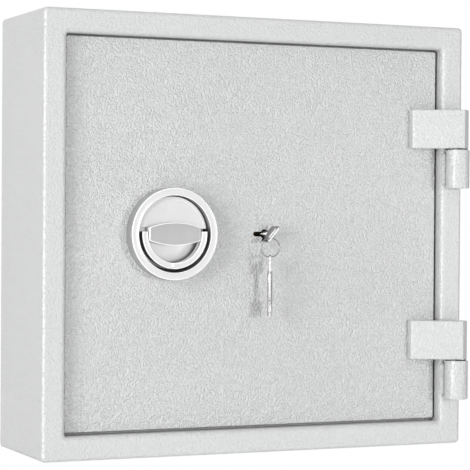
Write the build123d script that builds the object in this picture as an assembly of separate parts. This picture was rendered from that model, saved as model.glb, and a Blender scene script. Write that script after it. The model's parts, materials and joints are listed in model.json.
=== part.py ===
from build123d import *
import os
from math import cos, radians, sin

# Wall safe. Millimetres. X runs to the hinge side, Y into the wall, Z up. The origin is the
# centre of the four wall-anchor holes on the outside of the back panel.

# ---- driving dimensions -------------------------------------------------------------------
width, height, depth = 475.0, 450.0, 140.0
sheet = 3.0                       # casing and pan sheet thickness
flange_w = 24.5                   # face width of the front frame
stop_w = 15.0                     # how far the door stop reaches inside the rebate
rebate_depth = 19.0               # front of the frame to the door stop
corner_r, rim_r, mouth_r = 4.5, 4.0, 5.5
anchor_r, anchor_dx, anchor_dz = 6.5, 375.0, 350.0
doubler = 40.0

door_face = 12.0                  # recess of the door behind the frame front
door_t = 6.0
door_gap_l, door_gap_r, door_gap_b, door_gap_t = 2.5, 2.2, 2.7, 1.7
line_z = 1.2                      # height of the handle and key centres
handle_x, key_x = -99.0, 8.0

pan_back, cover_t = 60.0, 1.5
bolt_r, bolt_dep, throw = 8.0, 31.0, 18.0
bolt_heights = (-115.0, 0.0, 115.0)
dog_r, dog_dep = 6.0, 36.0
bar_front, bar_back = 28.0, 34.0
stud_r, stud_z = 4.0, 137.0
running = 0.05                    # radial clearance of a turning shaft
gap = 0.3                         # face clearance between moving neighbours

hinge_x, hinge_dep = 225.0, -12.5
knuckle_r, knuckle_h, pin_r = 12.5, 41.5, 6.0
hinge_bottoms = (51.0, -175.5)    # underside of the upper and lower hinge

ring_r, ring_bore, ring_front = 46.75, 39.2, -5.0
dial_r = 38.6
bar_mid, bar_end = 11.7, 6.8        # half height of the grip bar at its middle and its ends
bar_half, bail_ri, bail_ro = 27.8, 29.3, 35.4
crank_r, crank_pin_r = 12.73, 4.0

bow_front, bow_len, bow_w, bow_t = -12.0, 19.0, 20.6, 2.0
key_len, shank_r, bit_w, bit_t, bit_len = 62.5, 2.45, 20.0, 2.2, 15.0
key_angle = 50.5                  # the bow's angle above the horizontal
key_travel = 129.5
hole_back, hole_half = 4.0, 5.6   # bow hole: set back from the end, half its straight length
hole_r = 2.6
ring_mid, wire_r = 9.8, 0.5
view_turn = 23.9                  # the key ring hangs turned by this much from the door's plane

lock_front, lock_back = 32.0, 55.0
lever_count, lever_pitch, lever_t = 6, 2.2, 1.3
yoke_r = 5.53

left, right = -width / 2, width / 2
bottom, top = -height / 2, height / 2


# ---- helpers ------------------------------------------------------------------------------
def block(x0, x1, d0, d1, z0, z1):
    """Box between two X, two depths behind the frame's front and two heights."""
    return Pos((x0 + x1) / 2, (d0 + d1) / 2 - depth, (z0 + z1) / 2) * Box(x1 - x0, d1 - d0, z1 - z0)


def rod(r, x, z, d0, d1):
    """Cylinder along the depth."""
    return Pos(x, (d0 + d1) / 2 - depth, z) * Rot(90, 0, 0) * Cylinder(r, d1 - d0)


def rod_x(r, d, z, x0, x1):
    return Pos((x0 + x1) / 2, d - depth, z) * Rot(0, 90, 0) * Cylinder(r, x1 - x0)


def rod_z(r, x, d, z0, z1):
    return Pos(x, d - depth, (z0 + z1) / 2) * Cylinder(r, z1 - z0)


def cone(r0, r1, x, z, d0, d1):
    """Cone along the depth, radius r0 at d0 and r1 at d1."""
    return Pos(x, (d0 + d1) / 2 - depth, z) * Rot(-90, 0, 0) * Cone(r0, r1, d1 - d0)


def plate(face, d0, d1):
    """Extrude a face drawn with X right and Z up between two depths."""
    plane = Plane(origin=(0, d1 - depth, 0), x_dir=(1, 0, 0), z_dir=(0, -1, 0))
    return extrude(plane * face, amount=d1 - d0)


def slot_face(x, z, length, r, angle=0.0):
    """Rounded slot, length between its end centres."""
    return Pos(x, z) * Rot(0, 0, angle) * SlotCenterToCenter(length, 2 * r)


def at_depth(edges, d):
    """Edges lying wholly at one depth."""
    return [e for e in edges if abs(e.bounding_box().min.Y - (d - depth)) < 1e-4
            and abs(e.bounding_box().max.Y - (d - depth)) < 1e-4]


def along_depth(shape):
    return shape.edges().filter_by(Axis.Y)


def group(shapes):
    return Compound(children=list(shapes))


nodes = {}

# ---- casing -------------------------------------------------------------------------------
body = block(left, right, 0, depth, bottom, top)
body = fillet(along_depth(body), corner_r)
body = fillet(at_depth(body.edges(), 0), rim_r)
cavity = block(left + sheet, right - sheet, sheet, depth + 1, bottom + sheet, top - sheet)
cavity = fillet(along_depth(cavity), corner_r - sheet)
mouth = (left + flange_w, right - flange_w, bottom + flange_w, top - flange_w)


def mouth_block(grow, d0, d1, r):
    x0, x1, z0, z1 = mouth
    shape = block(x0 - grow, x1 + grow, d0, d1, z0 - grow, z1 + grow)
    return fillet(along_depth(shape), r)


stop_back = rebate_depth + sheet
rebate = mouth_block(sheet, sheet / 2, stop_back, 6.0) - mouth_block(0, 0, rebate_depth, 3.0)
rebate -= mouth_block(-stop_w, rebate_depth - 1, stop_back + 1, 3.0)
casing = body - cavity - mouth_block(0, -1, sheet + 1, 3.0) + rebate
rim = [e for e in at_depth(casing.edges(), 0)
       if e.bounding_box().min.X > mouth[0] - 1 and e.bounding_box().max.X < mouth[1] + 1]
casing = fillet(rim, mouth_r)
nodes["outer_casing"] = casing

anchors = [(sx * anchor_dx / 2, sz * anchor_dz / 2) for sx in (-1, 1) for sz in (-1, 1)]
back = block(left + sheet, right - sheet, depth - sheet, depth, bottom + sheet, top - sheet)
back = fillet(along_depth(back), corner_r - sheet)
nodes["back_panel"] = back - [rod(anchor_r, x, z, depth - 5, depth + 1) for x, z in anchors]
nodes["anchor_reinforcements"] = group(
    block(x - doubler / 2, x + doubler / 2, depth - 2 * sheet, depth - sheet, z - doubler / 2, z + doubler / 2)
    - rod(anchor_r, x, z, depth - 9, depth) for x, z in anchors)

keeper_x = left + 33
keeper = block(keeper_x, keeper_x + sheet, stop_back, 44, -140, 140)
for z in bolt_heights:
    keeper -= rod_x(bolt_r + 1, bolt_dep, z, keeper_x - 1, keeper_x + 4)
    keeper -= block(keeper_x - 1, keeper_x + 4, stop_back - 1, bolt_dep, z - bolt_r - 1, z + bolt_r + 1)
nodes["bolt_keeper"] = keeper

shelf_z, shelf_front, shelf_rear = -12.0, 66.0, 134.0
shelf = block(left + 6, right - 6, shelf_front, shelf_rear, shelf_z, shelf_z + 1.5)
shelf += block(left + 6, right - 6, shelf_front, shelf_front + 1.5, shelf_z - 12, shelf_z + 1.5)
nodes["shelf"] = shelf


def bracket(side):
    """L-shaped rest for one end of the shelf, on the inside of a side wall."""
    wall = side * (right - sheet)
    xs = sorted((wall, wall - side * 2))
    foot = sorted((wall, wall - side * 18))
    upright = block(xs[0], xs[1], 72, 130, shelf_z - 16, shelf_z)
    return upright + block(foot[0], foot[1], 72, 130, shelf_z - 2, shelf_z)


nodes["shelf_brackets"] = group(bracket(s) for s in (-1, 1))
nodes["floor_mat"] = block(left + 8, right - 8, 27, 132, bottom + sheet, bottom + sheet + 2)


# ---- hinges -------------------------------------------------------------------------------
def knuckle(z0):
    """Round knuckle with a foot welded to the front of the frame, bored for the pin."""
    foot = block(hinge_x - 8.5, hinge_x + 8.5, hinge_dep, 0, z0, z0 + knuckle_h)
    shape = rod_z(knuckle_r, hinge_x, hinge_dep, z0, z0 + knuckle_h) + foot
    shape = chamfer(shape.edges().filter_by(GeomType.CIRCLE), 0.6)
    return shape - rod_z(pin_r, hinge_x, hinge_dep, z0 + 2, z0 + knuckle_h + 1)


def strap(z0):
    """Arm welded to the door face, rising in one flat slope past the pin and folded round behind it."""
    foot_x = left + 416.0
    outline = Polyline((foot_x, -door_face), (foot_x, -3.0), (hinge_x + 1.3, 24.5), (hinge_x + 10.4, 17.0),
                       (hinge_x + 10.0, 7.0), (hinge_x + 4.0, 3.2), (hinge_x - 4.0, 3.2),
                       (left + 454.5, 5.0), (left + 444.0, -door_face), close=True)
    profile = make_face(outline)
    plane = Plane(origin=(0, -depth, z0), x_dir=(1, 0, 0), z_dir=(0, 0, -1))
    arm = extrude(plane * profile, amount=-knuckle_h)
    ends = [e for e in arm.edges() if e.geom_type == GeomType.LINE
            and abs(e.bounding_box().min.Z - e.bounding_box().max.Z) < 1e-6
            and e.length > 40]
    arm = chamfer(ends, 0.8)
    return arm - rod_z(pin_r + running, hinge_x, hinge_dep, z0 - 1, z0 + knuckle_h - 8)


washer_t, washer_gap = 0.9, 0.3
for name, z0 in zip(("upper", "lower"), hinge_bottoms):
    joint_z = z0 + knuckle_h
    strap_z = joint_z + washer_t + washer_gap
    nodes[f"frame_knuckle_{name}"] = knuckle(z0)
    nodes[f"hinge_pin_{name}"] = rod_z(pin_r, hinge_x, hinge_dep, z0 + 2, strap_z + knuckle_h - 9)
    washer = rod_z(10.5, hinge_x, hinge_dep, joint_z, joint_z + washer_t)
    nodes[f"hinge_washer_{name}"] = washer - rod_z(pin_r, hinge_x, hinge_dep, joint_z - 1, joint_z + 2)
    nodes[f"hinge_strap_{name}"] = strap(strap_z)

# ---- door ---------------------------------------------------------------------------------
door_back = door_face + door_t
screw_angles = (30, 150, 270)
ring_screws = [(handle_x + 43 * cos(radians(a)), line_z + 43 * sin(radians(a))) for a in screw_angles]
keyhole_len, keyhole_half, keyhole_eye = 26.0, 2.5, 4.9


def keyhole(d0, d1):
    """Round eye with a slot to each side for a key with two bits."""
    slit = plate(slot_face(key_x, line_z, keyhole_len - 2 * keyhole_half, keyhole_half), d0, d1)
    return slit + rod(keyhole_eye, key_x, line_z, d0, d1)


door = block(mouth[0] + door_gap_l, mouth[1] - door_gap_r, door_face, door_back,
             mouth[2] + door_gap_b, mouth[3] - door_gap_t)
door = fillet(along_depth(door), 1.5)
door = fillet(at_depth(door.edges(), door_face), 1.0)
door -= keyhole(door_face - 1, door_back + 1)
door -= rod(16, handle_x, line_z, door_face - 1, door_back + 1)
nodes["door_plate"] = door - [rod(2.3, x, z, door_face - 1, door_back + 1) for x, z in ring_screws]

pan_l, pan_r, pan_b, pan_t = left + 47, left + 434.5, bottom + 43, bottom + 407
pan = block(pan_l, pan_r, door_back, pan_back, pan_b, pan_t)
pan -= block(pan_l + sheet, pan_r - sheet, door_back - 1, pan_back + 1, pan_b + sheet, pan_t - sheet)
cover_xs = (pan_l + 9, (pan_l + pan_r) / 2, pan_r - 9)
cover_spots = [(x, z) for x in cover_xs for z in (pan_b + 9, pan_t - 9)]
tab = 9.0
for x, z in cover_spots:
    pan += block(x - tab, x + tab, pan_back - 3, pan_back, z - tab, z + tab) & block(
        pan_l + 1, pan_r - 1, pan_back - 3, pan_back, pan_b + 1, pan_t - 1)
pan -= [rod(2, x, z, pan_back - 4, pan_back + 1) for x, z in cover_spots]
pan -= [rod_x(bolt_r + 2, bolt_dep, z, pan_l - 1, pan_l + 4) for z in bolt_heights]
pan -= [rod_x(dog_r, dog_dep, z, pan_r - 4, pan_r + 1) for z in bolt_heights]
nodes["door_pan"] = pan

cover = block(pan_l + 1, pan_r - 1, pan_back, pan_back + cover_t, pan_b + 1, pan_t - 1)
cover = fillet(along_depth(cover), 4)
nodes["door_inner_cover"] = cover - [rod(2, x, z, pan_back - 1, pan_back + 3) for x, z in cover_spots]


def screw(x, z, head_dep, reach, r, head_r, head_t, toward=1):
    """Pan-head screw along the depth; the head stands beyond head_dep, the shank runs the other way."""
    tip, crown = head_dep - toward * reach, head_dep + toward * head_t
    head = rod(head_r, x, z, min(head_dep, crown), max(head_dep, crown))
    head = fillet(at_depth(head.edges(), crown), head_t * 0.5)
    cross = block(x - head_r * 0.55, x + head_r * 0.55, crown - 0.9, crown + 0.9, z - 0.5, z + 0.5)
    cross += block(x - 0.5, x + 0.5, crown - 0.9, crown + 0.9, z - head_r * 0.55, z + head_r * 0.55)
    return head + rod(r, x, z, min(tip, head_dep), max(tip, head_dep)) - cross


nodes["cover_screws"] = group(screw(x, z, pan_back + cover_t, 5, 2, 4, 1.8) for x, z in cover_spots)


def dog(z):
    pin = rod_x(dog_r, dog_dep, z, pan_r - 9.5, pan_r + 10.5)
    tip = [e for e in pin.edges() if e.bounding_box().min.X > pan_r + 10]
    return chamfer(tip, 1.5)


nodes["fixed_dogs"] = group(dog(z) for z in bolt_heights)


def bush(z):
    shape = rod_x(bolt_r + 2, bolt_dep, z, pan_l, pan_l + sheet)
    shape += rod_x(bolt_r + 4, bolt_dep, z, pan_l + sheet, pan_l + sheet + 1.7)
    return shape - rod_x(bolt_r + 0.08, bolt_dep, z, pan_l - 1, pan_l + 10)


nodes["bolt_guide_bushes"] = group(bush(z) for z in bolt_heights)

bar_x0, bar_x1 = left + 70, left + 110
studs = [(left + 80, -stud_z), (left + 80, stud_z), (left + 190, 52.0)]


def guide_stud(x, z):
    """Shouldered stud that the bolt bar slides along."""
    shape = rod(6.5, x, z, door_back, bar_front - gap) + rod(stud_r, x, z, door_back, bar_back + 2)
    return shape + rod(6.5, x, z, bar_back + gap, bar_back + 2.5)


nodes["bar_guide_studs"] = group(guide_stud(x, z) for x, z in studs)

# ---- handle -------------------------------------------------------------------------------
ring = rod(ring_r, handle_x, line_z, ring_front, door_face) - rod(ring_bore, handle_x, line_z, -9, 20)
front_rims = at_depth(ring.edges(), ring_front)
ring = chamfer([e for e in front_rims if e.length < 260], 0.6)
ring = fillet([e for e in at_depth(ring.edges(), ring_front) if e.length > 270], 1.2)
nodes["handle_escutcheon"] = ring - [rod(2, x, z, 2, door_face + 1) for x, z in ring_screws]
nodes["escutcheon_screws"] = group(screw(x, z, door_back, 15.5, 2, 4.2, 2.4) for x, z in ring_screws)

hub_r = 12.0
bushing = rod(16, handle_x, line_z, door_face, door_back) + rod(21, handle_x, line_z, door_back, door_back + 2)
nodes["spindle_bush"] = bushing - rod(hub_r + 0.06, handle_x, line_z, door_face - 1, door_back + 3)


def dial():
    """Turning centre of the handle: base disc, raised upper half, grip bar and hub, one casting."""
    hx, hz = handle_x, line_z
    base = rod(dial_r, hx, hz, 8, door_face - gap)
    upper = cone(33.8, 38.0, hx, hz, 5, 7) + rod(38.0, hx, hz, 7, 8.5)
    upper &= block(hx - 50, hx + 50, 0, 9, hz + 7, hz + 50)
    reach = bar_half
    sag = bar_mid - bar_end
    arc_r = (reach ** 2 + sag ** 2) / (2 * sag)
    lens = Pos(hx, hz) * Rectangle(2 * reach, 3 * bar_mid)
    for s in (-1, 1):
        lens &= Pos(hx, hz + s * (arc_r - bar_mid)) * Circle(arc_r)
    grip = plate(lens, ring_front, 8.5)
    grip = fillet(at_depth(grip.edges(), ring_front), 0.8)
    ears = [rod_x(2.0, 0, hz, min(s * reach, s * (reach - 8)) + hx, max(s * reach, s * (reach - 8)) + hx)
            for s in (-1, 1)]
    hub = rod(hub_r, hx, hz, door_face - gap, 23) + rod(6, hx, hz, 20, 27)
    shape = base + upper + grip + hub
    for ear in ears:
        shape -= ear
    return shape - rod(2.1, hx, hz, 15, 28) - cone(2.1, 4.6, hx, hz, 24.5, 27)


nodes["handle_rotor"] = dial()
bail_reach = bail_ro - 1.4
nodes["bail_pins"] = group(
    rod_x(2.0, 0, line_z, *sorted((handle_x + s * (bar_half - 8), handle_x + s * bail_reach))) for s in (-1, 1))


def bail():
    """Half-ring pull that lies round the lower half of the grip bar and hangs on two pins."""
    hx, hz = handle_x, line_z
    sector = (Circle(bail_ro) - Circle(bail_ri)) & (Pos(0, -50) * Rectangle(100, 100))
    arms = [Pos(s * (bail_ri + bail_ro) / 2, 1.25) * Rectangle(bail_ro - bail_ri, 2.5) for s in (-1, 1)]
    profile = Pos(hx, hz) * (sector + arms[0] + arms[1])
    shape = plate(profile, ring_front, 4.6)
    shape = fillet([e for e in at_depth(shape.edges(), ring_front) if e.length > 20], 1.0)
    shape -= Pos(hx, ring_front - depth - 0.6, hz - bail_ro - 0.4) * Sphere(3.6)
    for s in (-1, 1):
        shape -= rod_x(2.0 + running, 0, hz, *sorted((hx + s * (bail_ri - 1), hx + s * (bail_ro - 1))))
    return shape


nodes["handle_bail"] = bail()

crank_offset = crank_r * cos(radians(45))
pin_at = (handle_x + crank_offset, line_z + crank_offset)
disc = rod(20, handle_x, line_z, 23, 27) - rod(6, handle_x, line_z, 22, 28)
nodes["crank_disc"] = disc - rod(2.5, pin_at[0], pin_at[1], 22, 28)
nodes["crank_pin"] = rod(crank_pin_r, pin_at[0], pin_at[1], 27, bar_back + 0.5) + rod(
    2.5, pin_at[0], pin_at[1], 23, 27)
head = cone(2.0, 4.5, handle_x, line_z, 24.5, 27) + rod(2.0, handle_x, line_z, 16, 24.5)
nodes["crank_screw"] = head - rod(1.2, handle_x, line_z, 25.6, 28)

# ---- bolt work ----------------------------------------------------------------------------
web_z, web_h = 39.0, 26.0
bar = block(bar_x0, bar_x1, bar_front, bar_back, -150, 150)
bar += block(left + 95, key_x + 45, bar_front, bar_back, web_z, web_z + web_h)
bar += block(left + 95, handle_x + 26, bar_front, bar_back, line_z - 4, web_z + 1)
bar -= plate(Pos(pin_at[0], line_z + 10.9) * Rectangle(2 * crank_pin_r + 0.9, 12.8), 20, 40)
for x, z in studs:
    bar -= plate(slot_face(x + throw / 2, z, throw, stud_r + 0.2), 20, 40)
notch_top = web_z + 11
for shift in (0, throw):
    bar -= block(key_x + shift - 6.5, key_x + shift + 6.5, 20, 40, web_z - 5, notch_top)
bolt_screw_x = left + 83
bar -= [rod(2.5, bolt_screw_x, z, 20, 40) for z in bolt_heights]
nodes["bolt_bar"] = bar


def locking_bolt(z):
    """Round bolt milled to a flat tongue that is screwed to the back of the bar."""
    shape = rod_x(bolt_r, bolt_dep, z, pan_l - 0.5, bar_x0)
    tip = [e for e in shape.edges() if e.bounding_box().max.X < pan_l]
    shape = chamfer(tip, 1.5)
    tongue = rod_x(bolt_r, bolt_dep, z, bar_x0, left + 93) & block(
        bar_x0, left + 93, bar_back, 45, z - 10, z + 10)
    return shape + tongue - rod(2.5, bolt_screw_x, z, 20, 45)


nodes["locking_bolts"] = group(locking_bolt(z) for z in bolt_heights)
nodes["bolt_screws"] = group(screw(bolt_screw_x, z, bolt_dep + bolt_r, 11, 2.5, 4.5, 2.4) for z in bolt_heights)

# ---- lock ---------------------------------------------------------------------------------
hard = block(key_x - 40, key_x + 40, door_back, door_back + 4, line_z - 41, web_z - 3)
nodes["drill_protection_plate"] = hard - keyhole(door_back - 1, door_back + 5)
tube = rod(17, key_x, line_z, door_back + 4, lock_front) - keyhole(door_back + 3, lock_front + 1)
nodes["key_guide"] = tube

case_x0, case_x1, case_z0, case_z1 = key_x - 32, key_x + 32, line_z - 62, web_z - 2
case = block(case_x0, case_x1, lock_front, lock_back, case_z0, case_z1)
case -= block(case_x0 + 2, case_x1 - 2, lock_front + 2, lock_back + 1, case_z0 + 2, case_z1 - 2)
case -= keyhole(lock_front - 1, lock_front + 3)
post_z = line_z - 42
bolt_half = 6.0
case -= block(key_x - bolt_half - gap, key_x + bolt_half + gap, lock_front - 1, lock_back + 1,
              case_z1 - 13, case_z1 + 1)
feet = [(case_x0 + 5, case_z0 + 5), (case_x1 - 5, case_z0 + 5), (case_x0 + 5, case_z1 - 5), (case_x1 - 5, case_z1 - 5)]
for x, z in feet:
    case += rod(4, x, z, lock_front + 1, lock_back)
case -= [rod(1.5, x, z, lock_front + 8, lock_back + 1) for x, z in feet]
nodes["lock_case"] = case
lid = block(case_x0, case_x1, lock_back, lock_back + 2, case_z0, case_z1)
nodes["lock_cover"] = lid - [rod(1.5, x, z, lock_back - 1, lock_back + 3) for x, z in feet]
nodes["lock_screws"] = group(screw(x, z, lock_back + 2, 10, 1.5, 3, 1.6) for x, z in feet)

lever_start = lock_front + 3.4
lever_spots = [lever_start + i * lever_pitch for i in range(lever_count)]
lever_end = lever_spots[-1] + lever_t
curtain_front = lever_end + 0.6
curtain_back = curtain_front + 2.2
tail_front = curtain_back + gap
tail_back = lock_back - gap
nodes["lever_post"] = rod(3, key_x, post_z, lock_front + 2, lock_back)
bearing = block(case_x0 + 2, case_x1 - 2, curtain_front, curtain_back, case_z0 + 10.5, case_z1 - 17)
bearing -= rod(13 + running, key_x, line_z, curtain_front - 1, curtain_back + 1)
nodes["curtain_plate"] = bearing - rod(3, key_x, post_z, curtain_front - 1, curtain_back + 1)


def lever(d):
    """One lever: a plate swinging on the post, with a window for the turning key bits."""
    shape = plate(Pos(key_x, line_z - 14.5) * RectangleRounded(37, 66, 7), d, d + lever_t)
    shape -= rod(13.0, key_x, line_z, d - 1, d + 3)
    gate = block(key_x - 12, key_x - 4, d - 1, d + 3, line_z + 15.5, line_z + 20)
    return shape - gate - rod(3 + running, key_x, post_z, d - 1, d + 3)


nodes["lever_pack"] = group(lever(d) for d in lever_spots)


def leaf_spring(d):
    """Strip spring fixed in the lever's edge that bears toward the case wall."""
    root = key_x - 18.5 - 0.26
    spine = Spline((root, line_z - 34), (root - 2, line_z - 26), (root - 6.5, line_z - 12),
                   tangents=[(0, 1), (-1, 2)])
    start = spine % 0
    section = Plane(origin=spine @ 0, x_dir=(1, 0, 0), z_dir=start) * Rectangle(0.5, lever_t * 0.8)
    strip = sweep(section, path=spine)
    plane = Plane(origin=(0, d + lever_t / 2 - depth, 0), x_dir=(1, 0, 0), z_dir=(0, -1, 0))
    return plane.location * strip


nodes["lever_springs"] = group(leaf_spring(d) for d in lever_spots)

drive = -key_travel / 2
curtain = rod(13, key_x, line_z, curtain_front, curtain_back)
curtain -= plate(Pos(key_x, line_z) * Rot(0, 0, key_angle) * Rectangle(bit_w + 0.6, bit_t + 0.6),
                 curtain_front - 1, curtain_back + 1)
curtain -= rod(shank_r + 0.15, key_x, line_z, curtain_front - 1, curtain_back + 1)
curtain += rod(2.5, key_x + yoke_r * cos(radians(drive)), line_z + yoke_r * sin(radians(drive)),
               curtain_back, tail_back)
nodes["lock_curtain"] = curtain

bolt_z0, bolt_z1 = 25.0, web_z - 0.7
bolt = block(key_x - bolt_half, key_x + bolt_half, lock_front + 3, tail_back, bolt_z0, bolt_z1 - 5)
bolt += block(key_x - bolt_half, key_x + bolt_half, bar_front - 1, tail_back, bolt_z1 - 11, bolt_z1)
tail = block(key_x - 12, key_x + 14, tail_front, tail_back, line_z - 12, bolt_z0 - 1.5)
tail += block(key_x - bolt_half, key_x + bolt_half, tail_front, tail_back, bolt_z0 - 2, bolt_z0 + 4)
yoke = plate(Pos(key_x + 4.0, line_z - 5) * Rectangle(10.4, 6.1), tail_front - 1, tail_back + 1)
nodes["lock_bolt"] = bolt + tail - yoke


# ---- keys ---------------------------------------------------------------------------------
def make_key():
    """Double-bit key along +Y from the bow's end at the origin, its blade in the XY plane."""
    bow = Pos(0, bow_len / 2, 0) * extrude(RectangleRounded(bow_w, bow_len, 3.0), bow_t / 2, both=True)
    bow = fillet(bow.faces().filter_by(Axis.Z).edges(), 0.3)
    eye = Pos(0, hole_back, 0) * extrude(SlotCenterToCenter(2 * hole_half, 2 * hole_r), bow_t, both=True)
    shank = Pos(0, (bow_len - 2 + key_len) / 2, 0) * Rot(90, 0, 0) * Cylinder(shank_r, key_len - bow_len + 2)
    blade = Pos(0, key_len - bit_len / 2, 0) * Box(bit_w, bit_len, bit_t)
    steps = (1.6, 3.0, 0.8, 2.4, 1.2, 3.4)
    for i, cut in enumerate(steps):
        y = key_len - bit_len + 1.6 + i * lever_pitch
        for s, cut_depth in ((-1, cut), (1, steps[-1 - i])):
            blade -= Pos(s * (bit_w / 2 - cut_depth / 2), y + lever_pitch / 2, 0) * Box(cut_depth, lever_pitch, 5)
    return bow - eye + shank + blade


nodes["key"] = Pos(key_x, bow_front - depth, line_z) * Rot(0, -key_angle, 0) * make_key()

across = (cos(radians(view_turn)), -sin(radians(view_turn)))
ring_at = (key_x - 2.75, bow_front + hole_back - depth, line_z - 13.7)
ring_plane = Plane(origin=ring_at, x_dir=(across[0], across[1], 0), z_dir=(across[1], -across[0], 0))
nodes["key_ring"] = ring_plane.location * Torus(ring_mid, wire_r)

spare_top = ring_at[2] - ring_mid + hole_back - hole_r + wire_r + gap
spare_plane = Plane(origin=(ring_at[0], ring_at[1], spare_top), x_dir=(across[1], -across[0], 0),
                    z_dir=(across[0], across[1], 0))
spare = spare_plane.location * make_key()
nodes["spare_key"] = spare

# ---- export -------------------------------------------------------------------------------
os.makedirs("parts", exist_ok=True)
for name, shape in nodes.items():
    export_step(shape, f"parts/{name}.step")
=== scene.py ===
"""Wall safe: finishes, fine pieces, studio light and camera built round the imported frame."""

import json  # noqa: E402
import logging  # noqa: E402
import math  # noqa: E402
from dataclasses import dataclass  # noqa: E402
from enum import Enum  # noqa: E402
from typing import Iterable, Sequence  # noqa: E402

import bmesh  # noqa: E402
import bpy  # noqa: E402
from mathutils import Matrix, Vector  # noqa: E402

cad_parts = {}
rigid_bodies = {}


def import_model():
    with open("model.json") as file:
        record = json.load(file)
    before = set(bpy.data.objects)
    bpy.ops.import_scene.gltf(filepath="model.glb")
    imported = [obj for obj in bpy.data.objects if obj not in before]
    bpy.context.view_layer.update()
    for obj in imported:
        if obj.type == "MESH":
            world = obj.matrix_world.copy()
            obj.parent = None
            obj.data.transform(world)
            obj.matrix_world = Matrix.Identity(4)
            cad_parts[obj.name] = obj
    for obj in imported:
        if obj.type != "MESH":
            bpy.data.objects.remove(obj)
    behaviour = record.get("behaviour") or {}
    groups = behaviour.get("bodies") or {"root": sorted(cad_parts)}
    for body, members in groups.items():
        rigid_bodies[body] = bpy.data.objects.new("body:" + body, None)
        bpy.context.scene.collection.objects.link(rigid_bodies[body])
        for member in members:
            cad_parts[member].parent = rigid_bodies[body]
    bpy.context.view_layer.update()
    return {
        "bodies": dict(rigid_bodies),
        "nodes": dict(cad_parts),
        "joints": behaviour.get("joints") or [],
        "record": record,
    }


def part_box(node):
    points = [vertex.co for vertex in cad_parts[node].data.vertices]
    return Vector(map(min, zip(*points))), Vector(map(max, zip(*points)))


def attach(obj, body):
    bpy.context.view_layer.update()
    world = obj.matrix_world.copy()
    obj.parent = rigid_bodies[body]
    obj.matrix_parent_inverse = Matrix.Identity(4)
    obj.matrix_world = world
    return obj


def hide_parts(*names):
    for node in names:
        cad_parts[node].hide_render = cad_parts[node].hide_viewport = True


log = logging.getLogger("wall_safe")
Colour = tuple[float, float, float]
Point = tuple[float, float, float]

SAME_SPOT = 1e-6      # corners closer than this are one, in metres
SPUN_SPOT = 1e-7      # the same for corners made by a spin
ON_PLANE = 1e-5       # how near a plane counts as on it
ON_RADIUS = 1e-4      # how near a radius counts as on it
MIX_A, MIX_B, MIX_RESULT = 6, 7, 2    # a Mix node's colour sockets


class Body(str, Enum):
    """The bodies that new pieces ride on."""

    SAFE = "safe_body"
    DOOR = "door"
    HANDLE = "handle"
    BAIL = "bail"
    KEY = "key"
    RING = "ring"
    SPARE = "spare"


class Effect(str, Enum):
    """Shader node groups shared by several finishes."""

    POWDER_GRAIN = "powder_grain"
    HAMMER_COAT = "hammer_coat"
    FINE_SCRATCHES = "fine_scratches"
    SOFT_CLOUDS = "soft_clouds"
    SETTLED_DUST = "settled_dust"


class LitPart(Enum):
    """Which part of a surface a light reaches."""

    DIFFUSE = "diffuse"
    GLOSSY = "glossy"
    BOTH = "both"


# ---- shader graph helpers -----------------------------------------------------------------
class Graph:
    """Thin wrapper that adds and joins nodes in one node tree."""

    def __init__(self, tree: bpy.types.NodeTree) -> None:
        """Keep the tree that nodes are added to."""
        self.tree = tree

    def add(self, kind: str, **values: object) -> bpy.types.Node:
        """Add one node.

        Args:
            kind: Blender's node type name.
            values: attributes of the node, or input sockets named with underscores for spaces.

        Returns:
            The new node.
        """
        node = self.tree.nodes.new(kind)
        for name, value in values.items():
            if name in node.inputs or name.replace("_", " ") in node.inputs:
                socket = node.inputs[name if name in node.inputs else name.replace("_", " ")]
                if isinstance(value, bpy.types.NodeSocket):
                    self.tree.links.new(value, socket)
                else:
                    socket.default_value = value
            else:
                setattr(node, name, value)
        return node

    def join(self, source: bpy.types.NodeSocket, target: bpy.types.NodeSocket) -> None:
        """Link an output to an input."""
        self.tree.links.new(source, target)

    def math(self, operation: str, a: object, b: object = 0.0) -> bpy.types.NodeSocket:
        """Add a Math node.

        Args:
            operation: Math operation name.
            a: first value or socket.
            b: second value or socket.

        Returns:
            The result socket.
        """
        node = self.tree.nodes.new("ShaderNodeMath")
        node.operation = operation
        for index, value in enumerate((a, b)):
            if isinstance(value, bpy.types.NodeSocket):
                self.join(value, node.inputs[index])
            else:
                node.inputs[index].default_value = value
        return node.outputs[0]

    def blend(self, factor: object, a: object, b: object, mode: str = "MIX") -> bpy.types.NodeSocket:
        """Mix two colours.

        Args:
            factor: value or socket; 0 gives a, 1 gives b.
            a: first colour, linear, or socket.
            b: second colour, linear, or socket.
            mode: Mix blend type.

        Returns:
            The colour socket.
        """
        node = self.add("ShaderNodeMix", data_type="RGBA", blend_type=mode, Factor=factor)
        for index, colour in ((MIX_A, a), (MIX_B, b)):
            if isinstance(colour, bpy.types.NodeSocket):
                self.join(colour, node.inputs[index])
            else:
                node.inputs[index].default_value = (*colour, 1)
        return node.outputs[MIX_RESULT]

    def spread(self, value: bpy.types.NodeSocket, low: float, high: float) -> bpy.types.NodeSocket:
        """Map a 0 to 1 value onto low to high.

        Args:
            value: the varying input.
            low: result at 0.
            high: result at 1.

        Returns:
            The mapped socket.
        """
        node = self.tree.nodes.new("ShaderNodeMapRange")
        self.join(value, node.inputs["Value"])
        node.inputs["To Min"].default_value = low
        node.inputs["To Max"].default_value = high
        return node.outputs["Result"]


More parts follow.
